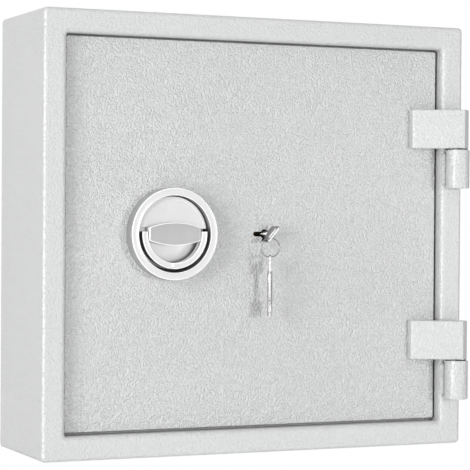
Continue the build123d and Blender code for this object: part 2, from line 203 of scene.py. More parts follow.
class EffectLibrary:
    """Builds each shared node group once and places it in materials."""

    roll_ratio = 0.28       # scale of a powder coat's broad roll against its grain's
    drift_scale = 160.0     # how often the pebbles' rows wander
    drift = 0.0016          # how far they wander, in metres
    grit_ratio = 2.1        # scale of the small pebbles against the large ones'
    grit_share = 0.28       # share of the height that the small pebbles give
    speck_scale = 60.0      # scale of the specks in settled dust

    def __init__(self) -> None:
        """Build every group."""
        self.groups: dict[Effect, bpy.types.NodeTree] = {}
        self._powder_grain()
        self._hammer_coat()
        self._fine_scratches()
        self._soft_clouds()
        self._settled_dust()

    def _open(self, effect: Effect, inputs: Sequence[tuple[str, float]], outputs: Sequence[str]) -> tuple[
            Graph, bpy.types.Node, bpy.types.Node]:
        """Start a group with float sockets.

        Args:
            effect: which group.
            inputs: names and defaults.
            outputs: names.

        Returns:
            The graph, its input node and its output node.
        """
        tree = bpy.data.node_groups.new(effect.value, "ShaderNodeTree")
        for name, default in inputs:
            socket = tree.interface.new_socket(name=name, in_out="INPUT", socket_type="NodeSocketFloat")
            socket.default_value = default
        for name in outputs:
            tree.interface.new_socket(name=name, in_out="OUTPUT", socket_type="NodeSocketFloat")
        self.groups[effect] = tree
        graph = Graph(tree)
        return graph, graph.add("NodeGroupInput"), graph.add("NodeGroupOutput")

    def _powder_grain(self) -> None:
        """Fine even grain of a cured powder coat, with a broader roll under it."""
        graph, given, out = self._open(Effect.POWDER_GRAIN, [("Scale", 900.0)], ["Height", "Mask"])
        where = graph.add("ShaderNodeTexCoord").outputs["Object"]
        fine = graph.add("ShaderNodeTexNoise", Vector=where, Detail=3.0, Roughness=0.6)
        graph.join(given.outputs["Scale"], fine.inputs["Scale"])
        wide = graph.add("ShaderNodeTexNoise", Vector=where, Detail=1.0)
        graph.join(graph.math("MULTIPLY", given.outputs["Scale"], self.roll_ratio), wide.inputs["Scale"])
        height = graph.math("ADD", graph.math("MULTIPLY", fine.outputs["Fac"], 0.5),
                            graph.math("MULTIPLY", wide.outputs["Fac"], 0.5))
        graph.join(height, out.inputs["Height"])
        graph.join(fine.outputs["Fac"], out.inputs["Mask"])

    def _hammer_coat(self) -> None:
        """Rounded pebbles of a textured coat, uneven in size, with small pits between."""
        graph, given, out = self._open(Effect.HAMMER_COAT, [("Scale", 420.0)], ["Height"])
        where = graph.add("ShaderNodeTexCoord").outputs["Object"]
        drift = graph.add("ShaderNodeTexNoise", Vector=where, Scale=self.drift_scale, Detail=2.0)
        shifted = graph.add("ShaderNodeVectorMath", operation="MULTIPLY_ADD")
        graph.join(drift.outputs["Color"], shifted.inputs[0])
        shifted.inputs[1].default_value = (self.drift, self.drift, self.drift)
        graph.join(where, shifted.inputs[2])
        cells = graph.add("ShaderNodeTexVoronoi", feature="SMOOTH_F1", Smoothness=0.7)
        graph.join(shifted.outputs[0], cells.inputs["Vector"])
        graph.join(given.outputs["Scale"], cells.inputs["Scale"])
        small = graph.add("ShaderNodeTexVoronoi", feature="SMOOTH_F1", Smoothness=0.4)
        graph.join(shifted.outputs[0], small.inputs["Vector"])
        graph.join(graph.math("MULTIPLY", given.outputs["Scale"], self.grit_ratio), small.inputs["Scale"])
        pebble = graph.math("SUBTRACT", 1.0, cells.outputs["Distance"])
        grit = graph.math("SUBTRACT", 1.0, small.outputs["Distance"])
        height = graph.math("ADD", graph.math("MULTIPLY", pebble, 1 - self.grit_share),
                            graph.math("MULTIPLY", grit, self.grit_share))
        graph.join(height, out.inputs["Height"])

    def _fine_scratches(self) -> None:
        """Directional turning or brushing lines: noise squeezed along one axis."""
        graph, given, out = self._open(
            Effect.FINE_SCRATCHES, [("Along X", 1.0), ("Along Y", 1.0), ("Along Z", 1.0), ("Scale", 400.0)],
            ["Height", "Mask"])
        where = graph.add("ShaderNodeTexCoord").outputs["Object"]
        stretch = graph.add("ShaderNodeCombineXYZ")
        for name, socket in zip(("Along X", "Along Y", "Along Z"), stretch.inputs):
            graph.join(given.outputs[name], socket)
        squeezed = graph.add("ShaderNodeVectorMath", operation="MULTIPLY")
        graph.join(where, squeezed.inputs[0])
        graph.join(stretch.outputs[0], squeezed.inputs[1])
        lines = graph.add("ShaderNodeTexNoise", Detail=4.0, Roughness=0.65)
        graph.join(squeezed.outputs[0], lines.inputs["Vector"])
        graph.join(given.outputs["Scale"], lines.inputs["Scale"])
        ramp = graph.add("ShaderNodeMapRange", From_Min=0.35, From_Max=0.7)
        graph.join(lines.outputs["Fac"], ramp.inputs["Value"])
        graph.join(lines.outputs["Fac"], out.inputs["Height"])
        graph.join(ramp.outputs["Result"], out.inputs["Mask"])

    def _soft_clouds(self) -> None:
        """Slow change of tone over a surface, as from handling and an uneven coat."""
        graph, given, out = self._open(Effect.SOFT_CLOUDS, [("Scale", 9.0)], ["Mask"])
        where = graph.add("ShaderNodeTexCoord").outputs["Object"]
        clouds = graph.add("ShaderNodeTexNoise", Vector=where, Detail=3.0, Roughness=0.55)
        graph.join(given.outputs["Scale"], clouds.inputs["Scale"])
        ramp = graph.add("ShaderNodeMapRange", From_Min=0.3, From_Max=0.7)
        graph.join(clouds.outputs["Fac"], ramp.inputs["Value"])
        graph.join(ramp.outputs["Result"], out.inputs["Mask"])

    def _settled_dust(self) -> None:
        """A thin film that gathers on faces that look up."""
        graph, given, out = self._open(Effect.SETTLED_DUST, [("Amount", 0.3)], ["Mask"])
        normal = graph.add("ShaderNodeNewGeometry").outputs["Normal"]
        parts = graph.add("ShaderNodeSeparateXYZ", Vector=normal)
        up = graph.add("ShaderNodeMapRange", From_Min=0.5, From_Max=1.0)
        graph.join(parts.outputs["Z"], up.inputs["Value"])
        where = graph.add("ShaderNodeTexCoord").outputs["Object"]
        speck = graph.add("ShaderNodeTexNoise", Vector=where, Scale=self.speck_scale, Detail=5.0)
        film = graph.math("MULTIPLY", up.outputs["Result"], speck.outputs["Fac"])
        graph.join(graph.math("MULTIPLY", film, given.outputs["Amount"]), out.inputs["Mask"])

    def place(self, graph: Graph, effect: Effect, **values: float) -> bpy.types.Node:
        """Put a group in a material with its own values.

        Args:
            graph: the material's graph.
            effect: which group.
            values: its inputs, named with underscores for spaces.

        Returns:
            The group node.
        """
        node = graph.add("ShaderNodeGroup")
        node.node_tree = self.groups[effect]
        for name, value in values.items():
            node.inputs[name.replace("_", " ")].default_value = value
        return node


def start_material(name: str) -> tuple[bpy.types.Material, Graph, bpy.types.Node]:
    """Make a node material.

    Args:
        name: the finish's name.

    Returns:
        The material, its graph and its Principled shader.
    """
    material = bpy.data.materials.new(name)
    material.use_nodes = True
    graph = Graph(material.node_tree)
    return material, graph, material.node_tree.nodes["Principled BSDF"]


# ---- finishes -----------------------------------------------------------------------------
def scaled(colour: Colour, by: float) -> Colour:
    """The colour made lighter or darker."""
    return tuple(channel * by for channel in colour)


@dataclass(frozen=True)
class PaintFinish:
    """Powder coat: smooth with a fine grain, or pebbled, with painted shade darkening its crevices."""

    name: str
    colour: Colour
    pebble_scale: float = 0.0
    pebble_depth: float = 0.0
    grain_scale: float = 900.0
    grain_depth: float = 0.00006
    roughness: float = 0.40
    coat: float = 0.35
    coat_roughness: float = 0.16
    specular: float = 0.7
    # Painted shade in crevices: the darkest share of the colour, its reach in metres, the occlusion range
    # from shut to clear, and its samples.
    crevice_shade: float = 0.12
    crevice_reach: float = 0.009
    crevice_open: tuple[float, float] = (0.08, 0.32)
    crevice_samples: int = 6
    roughness_spread: tuple[float, float] = (0.06, 0.08)
    cloud_scale: float = 7.0
    cloud_tone: float = 0.965
    dust: float = 0.25
    dust_colour: Colour = (0.70, 0.69, 0.66)
    dust_roughness: float = 0.3

    def build(self, effects: EffectLibrary) -> bpy.types.Material:
        """Make the material.

        Args:
            effects: the shared groups.

        Returns:
            The material.
        """
        material, graph, shader = start_material(self.name)
        clouds = effects.place(graph, Effect.SOFT_CLOUDS, Scale=self.cloud_scale).outputs["Mask"]
        dust = effects.place(graph, Effect.SETTLED_DUST, Amount=self.dust).outputs["Mask"]
        grain = effects.place(graph, Effect.POWDER_GRAIN, Scale=self.grain_scale)
        tone = graph.blend(clouds, scaled(self.colour, self.cloud_tone), self.colour)
        dusty = graph.blend(dust, tone, self.dust_colour)
        # Painted shade: ambient occlusion darkens the base colour in crevices, gaps and recesses.
        hollow = graph.add("ShaderNodeAmbientOcclusion", samples=self.crevice_samples,
                           Distance=self.crevice_reach)
        shut, clear = self.crevice_open
        crevice_painted_shade = graph.add("ShaderNodeMapRange", From_Min=shut, From_Max=clear, To_Min=self.crevice_shade)
        graph.join(hollow.outputs["AO"], crevice_painted_shade.inputs["Value"])
        graph.join(graph.blend(1.0, dusty, crevice_painted_shade.outputs["Result"], "MULTIPLY"), shader.inputs["Base Color"])
        smoother, rougher = self.roughness_spread
        rough = graph.spread(grain.outputs["Mask"], self.roughness - smoother, self.roughness + rougher)
        graph.join(graph.math("ADD", rough, graph.math("MULTIPLY", dust, self.dust_roughness)),
                   shader.inputs["Roughness"])
        shader.inputs["Coat Weight"].default_value = self.coat
        shader.inputs["Coat Roughness"].default_value = self.coat_roughness
        shader.inputs["Specular IOR Level"].default_value = self.specular
        bump = graph.add("ShaderNodeBump", Strength=1.0, Distance=self.grain_depth)
        graph.join(grain.outputs["Height"], bump.inputs["Height"])
        if self.pebble_depth:
            pebbles = effects.place(graph, Effect.HAMMER_COAT, Scale=self.pebble_scale)
            coarse = graph.add("ShaderNodeBump", Strength=1.0, Distance=self.pebble_depth)
            graph.join(pebbles.outputs["Height"], coarse.inputs["Height"])
            graph.join(bump.outputs["Normal"], coarse.inputs["Normal"])
            bump = coarse
        graph.join(bump.outputs["Normal"], shader.inputs["Normal"])
        return material


@dataclass(frozen=True)
class MetalFinish:
    """Bare or plated metal with directional lines and slow tone changes."""

    name: str
    colour: Colour
    roughness: float = 0.25
    lines: tuple[float, float, float] = (1.0, 1.0, 1.0)
    line_scale: float = 900.0
    line_depth: float = 0.00001
    tarnish: float = 0.12
    tarnish_scale: float = 45.0
    metallic: float = 1.0
    smudge: float = 0.06
    roughness_spread: tuple[float, float] = (0.8, 1.3)

    def build(self, effects: EffectLibrary) -> bpy.types.Material:
        """Make the material.

        Args:
            effects: the shared groups.

        Returns:
            The material.
        """
        material, graph, shader = start_material(self.name)
        lines = effects.place(graph, Effect.FINE_SCRATCHES, Along_X=self.lines[0], Along_Y=self.lines[1],
                              Along_Z=self.lines[2], Scale=self.line_scale)
        clouds = effects.place(graph, Effect.SOFT_CLOUDS, Scale=self.tarnish_scale).outputs["Mask"]
        dull = scaled(self.colour, 1 - self.tarnish)
        graph.join(graph.blend(clouds, dull, self.colour), shader.inputs["Base Color"])
        shader.inputs["Metallic"].default_value = self.metallic
        varied = graph.spread(lines.outputs["Mask"], *(self.roughness * by for by in self.roughness_spread))
        smudge = graph.math("MULTIPLY", graph.math("SUBTRACT", 1.0, clouds), self.smudge)
        graph.join(graph.math("ADD", varied, smudge), shader.inputs["Roughness"])
        bump = graph.add("ShaderNodeBump", Strength=1.0, Distance=self.line_depth)
        graph.join(lines.outputs["Height"], bump.inputs["Height"])
        graph.join(bump.outputs["Normal"], shader.inputs["Normal"])
        return material


@dataclass(frozen=True)
class FeltFinish:
    """Needle felt: matted fibres with a soft sheen."""

    name: str
    colour: Colour
    fibre_scale: float = 1400.0
    fibre_depth: float = 0.0004
    clump_scale: float = 30.0
    light_tone: float = 1.7
    sheen: float = 0.5
    smoothest: float = 0.85
    fibre_strength: float = 0.8

    def build(self, effects: EffectLibrary) -> bpy.types.Material:
        """Make the material.

        Args:
            effects: the shared groups.

        Returns:
            The material.
        """
        material, graph, shader = start_material(self.name)
        fibres = effects.place(graph, Effect.FINE_SCRATCHES, Along_X=1.0, Along_Y=3.0, Along_Z=1.0,
                               Scale=self.fibre_scale)
        clouds = effects.place(graph, Effect.SOFT_CLOUDS, Scale=self.clump_scale).outputs["Mask"]
        mixed = graph.math("MULTIPLY", fibres.outputs["Mask"], clouds)
        light = scaled(self.colour, self.light_tone)
        graph.join(graph.blend(mixed, self.colour, light), shader.inputs["Base Color"])
        graph.join(graph.spread(clouds, self.smoothest, 1.0), shader.inputs["Roughness"])
        shader.inputs["Sheen Weight"].default_value = self.sheen
        shader.inputs["Sheen Roughness"].default_value = self.sheen
        bump = graph.add("ShaderNodeBump", Strength=self.fibre_strength, Distance=self.fibre_depth)
        graph.join(fibres.outputs["Height"], bump.inputs["Height"])
        graph.join(bump.outputs["Normal"], shader.inputs["Normal"])
        return material


EVEN = (1, 1, 1)
CASING_GREY: Colour = (0.598, 0.602, 0.604)
RECIPES: tuple[PaintFinish | MetalFinish | FeltFinish, ...] = (
    PaintFinish("casing_paint", CASING_GREY, 420.0, 0.0012, roughness=0.34),
    PaintFinish("hinge_paint", CASING_GREY, 420.0, 0.0014, roughness=0.30, crevice_shade=0.8),
    PaintFinish("door_paint", (0.640, 0.644, 0.646), 520.0, 0.0027, roughness=0.28),
    PaintFinish("primed_steel", (0.42, 0.43, 0.43), roughness=0.55, coat=0.0),
    MetalFinish("satin_chrome", (0.83, 0.83, 0.83), 0.33, EVEN, 400, 0.0000015, 0.03),
    MetalFinish("bolt_chrome", (0.74, 0.74, 0.75), 0.14, (12, 1, 1), 300, 0.000008, 0.1),
    MetalFinish("bright_steel", (0.60, 0.60, 0.61), 0.26, (1, 1, 14), 300, 0.00001),
    MetalFinish("zinc_steel", (0.66, 0.68, 0.70), 0.34, EVEN, 260, 0.00002, 0.22, 26),
    MetalFinish("dark_steel", (0.10, 0.10, 0.105), 0.45, EVEN, 500, 0.00003, 0.3),
    MetalFinish("brass", (0.72, 0.53, 0.24), 0.27, (10, 1, 1), 300, 0.00001, 0.25),
    # nickel_key is the keys' dark tone, painted shade on faces that look away; the bright nickel below it is
    # a painted highlight on faces that look outward.
    MetalFinish("nickel_key", (0.36, 0.36, 0.355), 0.2, (1, 1, 8), 500, 0.000004, 0.3, 160),
    MetalFinish("nickel_painted_highlight", (0.93, 0.93, 0.92), 0.25, EVEN, 500, 0.000002, 0.06, 160),
    MetalFinish("ring_wire", (0.30, 0.30, 0.30), 0.2, EVEN, 900, 0.000005, 0.2, 90),
    FeltFinish("grey_felt", (0.055, 0.058, 0.062)),
    MetalFinish("dial_face", (0.80, 0.80, 0.80), 0.36, EVEN, 600, 0.000003, 0.04),
    # Near-white and almost not metallic: a painted highlight on rims, chamfers and the grip's ends.
    MetalFinish("painted_highlight_rim", (0.99, 0.99, 0.99), 0.35, EVEN, 700, 0.000002, 0.01, 45, metallic=0.1),
    # Darker chrome: painted shade on the ring's bore wall.
    MetalFinish("bore_painted_shade", (0.34, 0.34, 0.34), 0.45, EVEN, 500, 0.000004, 0.2),
    # Darker chrome: painted shade and a dim painted reflection on the ring's outer wall.
    MetalFinish("outer_wall_painted_shade", (0.60, 0.60, 0.60), 0.34, EVEN, 500, 0.000003, 0.12),
    MetalFinish("brushed_grip", (0.555, 0.555, 0.555), 0.42, (1, 1, 9), 500, 0.000012, 0.06),
    # Black: painted shade in the deep gap between the dial and the ring.
    PaintFinish("gap_painted_shade", (0.012, 0.012, 0.012), roughness=0.6, coat=0.0),
)


class Finishes:
    """Every finish of the safe, by name; the record's slots use the same names."""

    def __init__(self) -> None:
        """Build the shared effects and all materials."""
        effects = EffectLibrary()
        self.looks = {recipe.name: recipe.build(effects) for recipe in RECIPES}

    def dress(self, piece: bpy.types.Object, slot: str, looks: Sequence[str] = ()) -> None:
        """Give a piece its finish.

        Args:
            piece: the object.
            slot: the record's slot.
            looks: finishes in material order, where they differ from the slot's own.
        """
        if piece.data.materials:
            piece.data.materials.clear()
        for look in looks or (slot,):
            piece.data.materials.append(self.looks[look])


# ---- mesh helpers -------------------------------------------------------------------------
def softened_copy(node: bpy.types.Object, edge: float, segments: int = 3,
                  left_end: float = 0.0) -> bmesh.types.BMesh:
    """Merge a CAD node's loose triangles and round its sharp edges.

    Args:
        node: the CAD node.
        edge: width of the rounding in metres.
        segments: steps in the rounding.
        left_end: wider rounding for the upright edge at the front of the left end, or 0.

    Returns:
        A clean bmesh.
    """
    mesh = bmesh.new()
    mesh.from_mesh(node.data)
    bmesh.ops.remove_doubles(mesh, verts=mesh.verts, dist=SAME_SPOT)
    bmesh.ops.dissolve_limit(mesh, angle_limit=math.radians(1.0), verts=mesh.verts, edges=mesh.edges)
    if left_end:
        least = min(v.co.x for v in mesh.verts)
        tall = (max(v.co.z for v in mesh.verts) - min(v.co.z for v in mesh.verts)) / 2
        ends = [e for e in mesh.edges if is_sharp(e) and all(v.co.x < least + ON_PLANE for v in e.verts)
                and abs(e.verts[0].co.z - e.verts[1].co.z) > tall]
        front = min((e.verts[0].co.y for e in ends), default=0.0)
        round_edges(mesh, left_end, 2 * segments, [e for e in ends if e.verts[0].co.y < front + ON_PLANE],
                    clamp=False)
    round_edges(mesh, edge, segments, [e for e in mesh.edges if is_sharp(e)])
    bmesh.ops.dissolve_degenerate(mesh, dist=ON_PLANE, edges=mesh.edges)
    return mesh


def is_sharp(edge: bmesh.types.BMEdge, degrees: float = 28.0) -> bool:
    """Whether two faces meet at the edge at more than the given angle."""
    return len(edge.link_faces) == 2 and edge.calc_face_angle(0.0) > math.radians(degrees)


def round_edges(mesh: bmesh.types.BMesh, offset: float, segments: int, edges: Sequence[bmesh.types.BMEdge],
                material: int = -1, clamp: bool = True) -> None:
    """Bevel some edges round.

    Args:
        mesh: the shape.
        offset: bevel width in metres.
        segments: steps in the rounding.
        edges: which edges.
        material: material index for the new faces, or -1.
        clamp: whether the width shrinks where neighbours would meet.
    """
    bmesh.ops.bevel(mesh, geom=list(edges), offset=offset, offset_type="OFFSET", affect="EDGES",
                    segments=segments, profile=0.5, material=material, clamp_overlap=clamp, loop_slide=True)


def lathe(mesh: bmesh.types.BMesh, centre: Vector, profile: Sequence[tuple[float, float]],
          steps: int = 128, closed: bool = False) -> None:
    """Spin a profile about an axis that runs along Y.

    Args:
        mesh: where the shape is added.
        centre: a point on the axis.
        profile: radius and Y of each corner in metres.
        steps: facets round the axis.
        closed: whether the last corner joins the first.
    """
    verts = [mesh.verts.new((centre.x + radius, y, centre.z)) for radius, y in profile]
    ends = list(zip(verts, verts[1:])) + ([(verts[-1], verts[0])] if closed else [])
    edges = [mesh.edges.new(pair) for pair in ends]
    bmesh.ops.spin(mesh, geom=verts + edges, cent=(centre.x, 0, centre.z), axis=(0, 1, 0), angle=2 * math.pi,
                   steps=steps, use_merge=True)
    bmesh.ops.remove_doubles(mesh, verts=mesh.verts, dist=SPUN_SPOT)


def bead(mesh: bmesh.types.BMesh, at: Vector, length: float, radius: float, ripples: int,
         swell: float = 0.09, taper: float = 3.2) -> None:
    """Upright weld bead with a rippled surface and rounded ends.

    Args:
        mesh: where the bead is added.
        at: its middle.
        length: its height in metres.
        radius: its half width.
        ripples: how many waves run along it.
        swell: height of a wave as a share of the radius.
        taper: how quickly the ends reach the full radius.
    """
    made = bmesh.ops.create_uvsphere(mesh, u_segments=16, v_segments=ripples * 6, radius=1.0)["verts"]
    for vert in made:
        polar = math.asin(max(-1.0, min(1.0, vert.co.z)))
        along = polar / (math.pi / 2)
        wave = 1 + swell * math.cos(along * ripples * math.pi)
        girth = radius * min(1.0, math.cos(polar) * taper) * wave
        flat = vert.co.xy.normalized() if vert.co.xy.length > SAME_SPOT else Vector((0, 0))
        vert.co = at + Vector((flat.x * girth, flat.y * girth, along * length / 2))


# ---- studio -------------------------------------------------------------------------------
@dataclass(frozen=True)
class Softbox:
    """One rectangular light aimed at the safe: position and size in metres, power in watts."""

    name: str
    at: Point
    size: tuple[float, float]
    watts: float
    lights: LitPart
    target: Point = (0.0, -0.1, 0.0)

    def build(self) -> None:
        """Add the light."""
        data = bpy.data.lights.new(self.name, "AREA")
        data.shape = "RECTANGLE"
        data.size, data.size_y = self.size
        data.energy = self.watts
        lamp = bpy.data.objects.new(self.name, data)
        bpy.context.scene.collection.objects.link(lamp)
        lamp.location = self.at
        lamp.visible_glossy = self.lights is not LitPart.DIFFUSE
        lamp.visible_diffuse = self.lights is not LitPart.GLOSSY
        lamp.rotation_mode = "QUATERNION"
        lamp.rotation_quaternion = (Vector(self.target) - Vector(self.at)).to_track_quat("-Z", "Y")


@dataclass(frozen=True)
class Studio:
    """Pale floor, soft light and the camera, in metres and radians."""

    camera_at: Point = (-0.81863, -1.92214, 0.02161)
    yaw: float = 0.41617
    pitch: float = -0.01093
    roll: float = 0.00678
    focal_px: float = 1895.93
    frame_px: float = 470.0
    sensor: float = 36.0
    floor_z: float = -0.75
    floor_half: float = 2.6
    floor_grey: float = 0.88
    floor_roughness: float = 0.8
    sky_levels: tuple[tuple[float, float], ...] = (
        (0.0, 0.62), (0.22, 0.80), (0.5, 0.92), (0.72, 0.88), (0.9, 0.25), (1.0, 0.12))
    sky_fill: float = 0.76
    sky_mirrored: float = 1.08
    softboxes: tuple[Softbox, ...] = (
        Softbox("key_softbox", (0.72, -2.3, 0.10), (0.30, 0.30), 19.5, LitPart.DIFFUSE),
        Softbox("left_softbox", (-2.2, -1.35, 0.3), (1.0, 1.5), 31.0, LitPart.BOTH),
        Softbox("rounding_softbox", (-2.5, -1.25, 0.0), (0.5, 1.6), 34.0, LitPart.GLOSSY),
        Softbox("sparkle_softbox", (1.55, -1.9, -0.05), (0.45, 0.7), 5.0, LitPart.GLOSSY))

    def build(self) -> None:
        """Make the camera, the floor, the sky and the lights."""
        self._camera()
        self._floor()
        self._sky()
        for softbox in self.softboxes:
            softbox.build()

    def _camera(self) -> None:
        """Place the camera by its yaw, pitch and roll."""
        reach = math.cos(self.pitch)
        forward = Vector((math.sin(self.yaw) * reach, math.cos(self.yaw) * reach, math.sin(self.pitch)))
        level = Vector((math.cos(self.yaw), -math.sin(self.yaw), 0.0))
        upright = level.cross(forward)
        right = level * math.cos(self.roll) + upright * math.sin(self.roll)
        up = upright * math.cos(self.roll) - level * math.sin(self.roll)
        data = bpy.data.cameras.new("camera")
        data.sensor_width = self.sensor
        data.lens = self.focal_px * self.sensor / self.frame_px
        camera = bpy.data.objects.new("camera", data)
        bpy.context.scene.collection.objects.link(camera)
        turn = Matrix((right, up, -forward)).transposed().to_4x4()
        camera.matrix_world = Matrix.Translation(Vector(self.camera_at)) @ turn
        bpy.context.scene.camera = camera

    def _floor(self) -> None:
        """Lay a plain pale floor well below the hung safe."""
        mesh_in = bmesh.new()
        bmesh.ops.create_grid(mesh_in, x_segments=1, y_segments=1, size=self.floor_half)
        bmesh.ops.translate(mesh_in, verts=mesh_in.verts, vec=(0, 0, self.floor_z))
        mesh = bpy.data.meshes.new("floor")
        mesh_in.to_mesh(mesh)
        mesh_in.free()
        floor = bpy.data.objects.new("floor", mesh)
        bpy.context.scene.collection.objects.link(floor)
        material, _, shader = start_material("floor_pale")
        shader.inputs["Base Color"].default_value = (self.floor_grey, self.floor_grey, self.floor_grey, 1)
        shader.inputs["Roughness"].default_value = self.floor_roughness
        mesh.materials.append(material)

    def _sky(self) -> None:
        """Surround that is white to look at and lights more from the left than the right."""
        world = bpy.data.worlds.new("studio")
        bpy.context.scene.world = world
        world.use_nodes = True
        graph = Graph(world.node_tree)
        world.node_tree.nodes.clear()
        path = graph.add("ShaderNodeLightPath")
        where = graph.add("ShaderNodeTexCoord").outputs["Generated"]
        parts = graph.add("ShaderNodeSeparateXYZ", Vector=where)
        across = graph.add("ShaderNodeMapRange", From_Min=-1.0)
        graph.join(parts.outputs["X"], across.inputs["Value"])
        shades = graph.add("ShaderNodeValToRGB")
        ramp = shades.color_ramp
        ramp.interpolation = "B_SPLINE"
        for spot, _ in self.sky_levels[1:-1]:
            ramp.elements.new(spot)
        for element, (spot, level) in zip(ramp.elements, self.sky_levels):
            element.position, element.color = spot, (level, level, level, 1)
        graph.join(across.outputs["Result"], shades.inputs["Fac"])
        shine = graph.add("ShaderNodeBackground")
        graph.join(shades.outputs["Color"], shine.inputs["Color"])
        graph.join(graph.spread(path.outputs["Is Glossy Ray"], self.sky_fill, self.sky_mirrored),
                   shine.inputs["Strength"])
        seen = graph.add("ShaderNodeBackground", Color=(1, 1, 1, 1), Strength=1.0)
        mix = graph.add("ShaderNodeMixShader")
        graph.join(path.outputs["Is Camera Ray"], mix.inputs[0])
        graph.join(shine.outputs[0], mix.inputs[1])
        graph.join(seen.outputs[0], mix.inputs[2])
        out = graph.add("ShaderNodeOutputWorld")
        graph.join(mix.outputs[0], out.inputs["Surface"])
        bpy.context.scene.view_settings.view_transform = "Standard"


# ---- the object ---------------------------------------------------------------------------
class SubAssembly:
    """A group of CAD nodes with the code that dresses or replaces them."""

    members: tuple[str, ...] = ()

    def __init__(self, frame: dict, finishes: Finishes) -> None:
        """Keep the frame and the finishes.

        Args:
            finishes: all finishes.
        """
        self.nodes = frame["nodes"]
        self.slots = {part["node"]: part["material_slot"] for part in frame["record"]["subparts"]}
        self.finishes = finishes

    def build(self) -> None:
        """Dress the members, then add the finer pieces."""
        for name in self.members:
            self.finishes.dress(self.nodes[name], self.slots[name])
        log.info("%s: %d nodes dressed", type(self).__name__, len(self.members))
        self.refine()

    def refine(self) -> None:
        """Add finer pieces; nothing unless a sub-assembly has some."""

    def finish(self, name: str, shape: bmesh.types.BMesh, body: Body, slot: str,
               stands_for: Iterable[str] = (), looks: Sequence[str] = (),
               crease: float = 32.0) -> bpy.types.Object:
        """Turn a bmesh into a dressed piece that rides on its body.

        Args:
            name: piece name.
            shape: the shape, freed here.
            body: what it moves with.
            slot: its slot in the record.
            stands_for: CAD nodes it replaces.
            looks: finishes by material index, if not the slot's own.
            crease: edges sharper than this many degrees stay crisp.

        Returns:
            The new object.
        """
        bmesh.ops.recalc_face_normals(shape, faces=shape.faces)
        mesh = bpy.data.meshes.new(name)
        shape.to_mesh(mesh)
        shape.free()
        mesh.polygons.foreach_set("use_smooth", [True] * len(mesh.polygons))
        mesh.set_sharp_from_angle(angle=math.radians(crease))
        piece = bpy.data.objects.new(name, mesh)
        bpy.context.scene.collection.objects.link(piece)
        self.finishes.dress(piece, slot, looks)
        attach(piece, body.value)
        if stands_for:
            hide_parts(*stands_for)
        log.info("%s: %d faces on %s", name, len(mesh.polygons), body.value)
        return piece


class Casing(SubAssembly):
    """Folded body, back with anchor doublers, bolt keeper."""

    members = ("outer_casing", "back_panel", "anchor_reinforcements", "bolt_keeper")


@dataclass(frozen=True)
class HingeSizes:
    """Sizes of the hinge dressing, in metres."""

    edge: float = 0.0007
    strap_end: float = 0.0045
    bead_radius: float = 0.0034
    bead_short: float = 0.004
    bead_ripples: int = 9
    knuckle_bead_left: float = 0.0099
    knuckle_bead_proud: float = 0.0006
    strap_bead_right: float = 0.0285
    strap_bead_proud: float = 0.0002
    strap_bead_radius: float = 0.00272


class Hinges(SubAssembly):
    """Two welded lift-off hinges: knuckles on the frame, straps on the door."""

    members = ("frame_knuckle_upper", "frame_knuckle_lower", "hinge_pin_upper", "hinge_pin_lower",
               "hinge_washer_upper", "hinge_washer_lower", "hinge_strap_upper", "hinge_strap_lower")
    sizes = HingeSizes()

    def refine(self) -> None:
        """Round the knuckles and straps and lay the weld beads beside them."""
        size = self.sizes
        casing_front, door_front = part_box("outer_casing")[0].y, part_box("door_plate")[0].y
        for place in ("upper", "lower"):
            strap, knuckle = f"hinge_strap_{place}", f"frame_knuckle_{place}"
            for name, body, end in ((strap, Body.DOOR, size.strap_end), (knuckle, Body.SAFE, 0.0)):
                shape = softened_copy(self.nodes[name], size.edge, left_end=end)
                self.finish(f"{name}_soft", shape, body, self.slots[name], [name], ("hinge_paint",))
            low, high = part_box(knuckle)
            foot = Vector(((low.x + high.x) / 2 - size.knuckle_bead_left,
                           casing_front - size.knuckle_bead_proud, (low.z + high.z) / 2))
            self._weld(f"knuckle_weld_{place}", foot, high.z - low.z, size.bead_radius, Body.SAFE)
            low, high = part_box(strap)
            foot = Vector((low.x + size.strap_bead_right, door_front - size.strap_bead_proud,
                           (low.z + high.z) / 2))
            self._weld(f"strap_weld_{place}", foot, high.z - low.z, size.strap_bead_radius, Body.DOOR)

    def _weld(self, name: str, middle: Vector, height: float, radius: float, body: Body) -> None:
        """Lay a weld bead along the foot of a hinge part.

        Args:
            name: piece name.
            middle: the bead's middle.
            height: height of the part that it holds.
            radius: half width of the bead.
            body: what it rides on.
        """
        shape = bmesh.new()
        bead(shape, middle, height - self.sizes.bead_short, radius, self.sizes.bead_ripples)
        self.finish(name, shape, body, "casing_paint")


class Door(SubAssembly):
    """Front plate, folded pan behind it and the screwed inner cover."""

    members = ("door_plate", "door_pan", "door_inner_cover", "cover_screws", "fixed_dogs",
               "drill_protection_plate", "key_guide")


@dataclass(frozen=True)
class HandleSizes:
    """Sizes of the handle that its boxes don't give, in metres; the crease is in degrees."""

    bore: float = 0.0392
    ring_round: float = 0.0009
    ring_steps: int = 4
    bore_chamfer: float = 0.0006
    base_front: float = 0.013
    base_back: float = 0.0167
    base_radius: float = 0.0358
    # The black ring round the dial, painted shade in the gap.
    gap_shade_radius: float = 0.0389
    gap_shade_front: float = 0.0145
    hub_radius: float = 0.012
    hub_back: float = 0.028
    raised_inner: float = 0.0338
    raised_outer: float = 0.038
    raised_front: float = 0.0062
    raised_shoulder: float = 0.0086
    raised_back: float = 0.0135
    raised_from: float = 0.007
    raised_crease: float = 20.0
    ear_from: float = 0.0054
    ear_gap: float = 0.0003
    base_round: float = 0.0004
    gap_shade_tuck: float = 0.0005
    grip_half: float = 0.0278
    grip_mid: float = 0.0117
    grip_end: float = 0.0068
    grip_round: float = 0.0008
    grip_cuts: int = 31
    bail_inner: float = 0.0293
    bail_arm: float = 0.0025
    bail_round: float = 0.0009
    bail_steps: int = 96
    notch: float = 0.0036
    notch_depth: float = 0.0012
    notch_proud: float = 0.0006
    notch_below: float = 0.0004
    notch_reach: float = 0.003


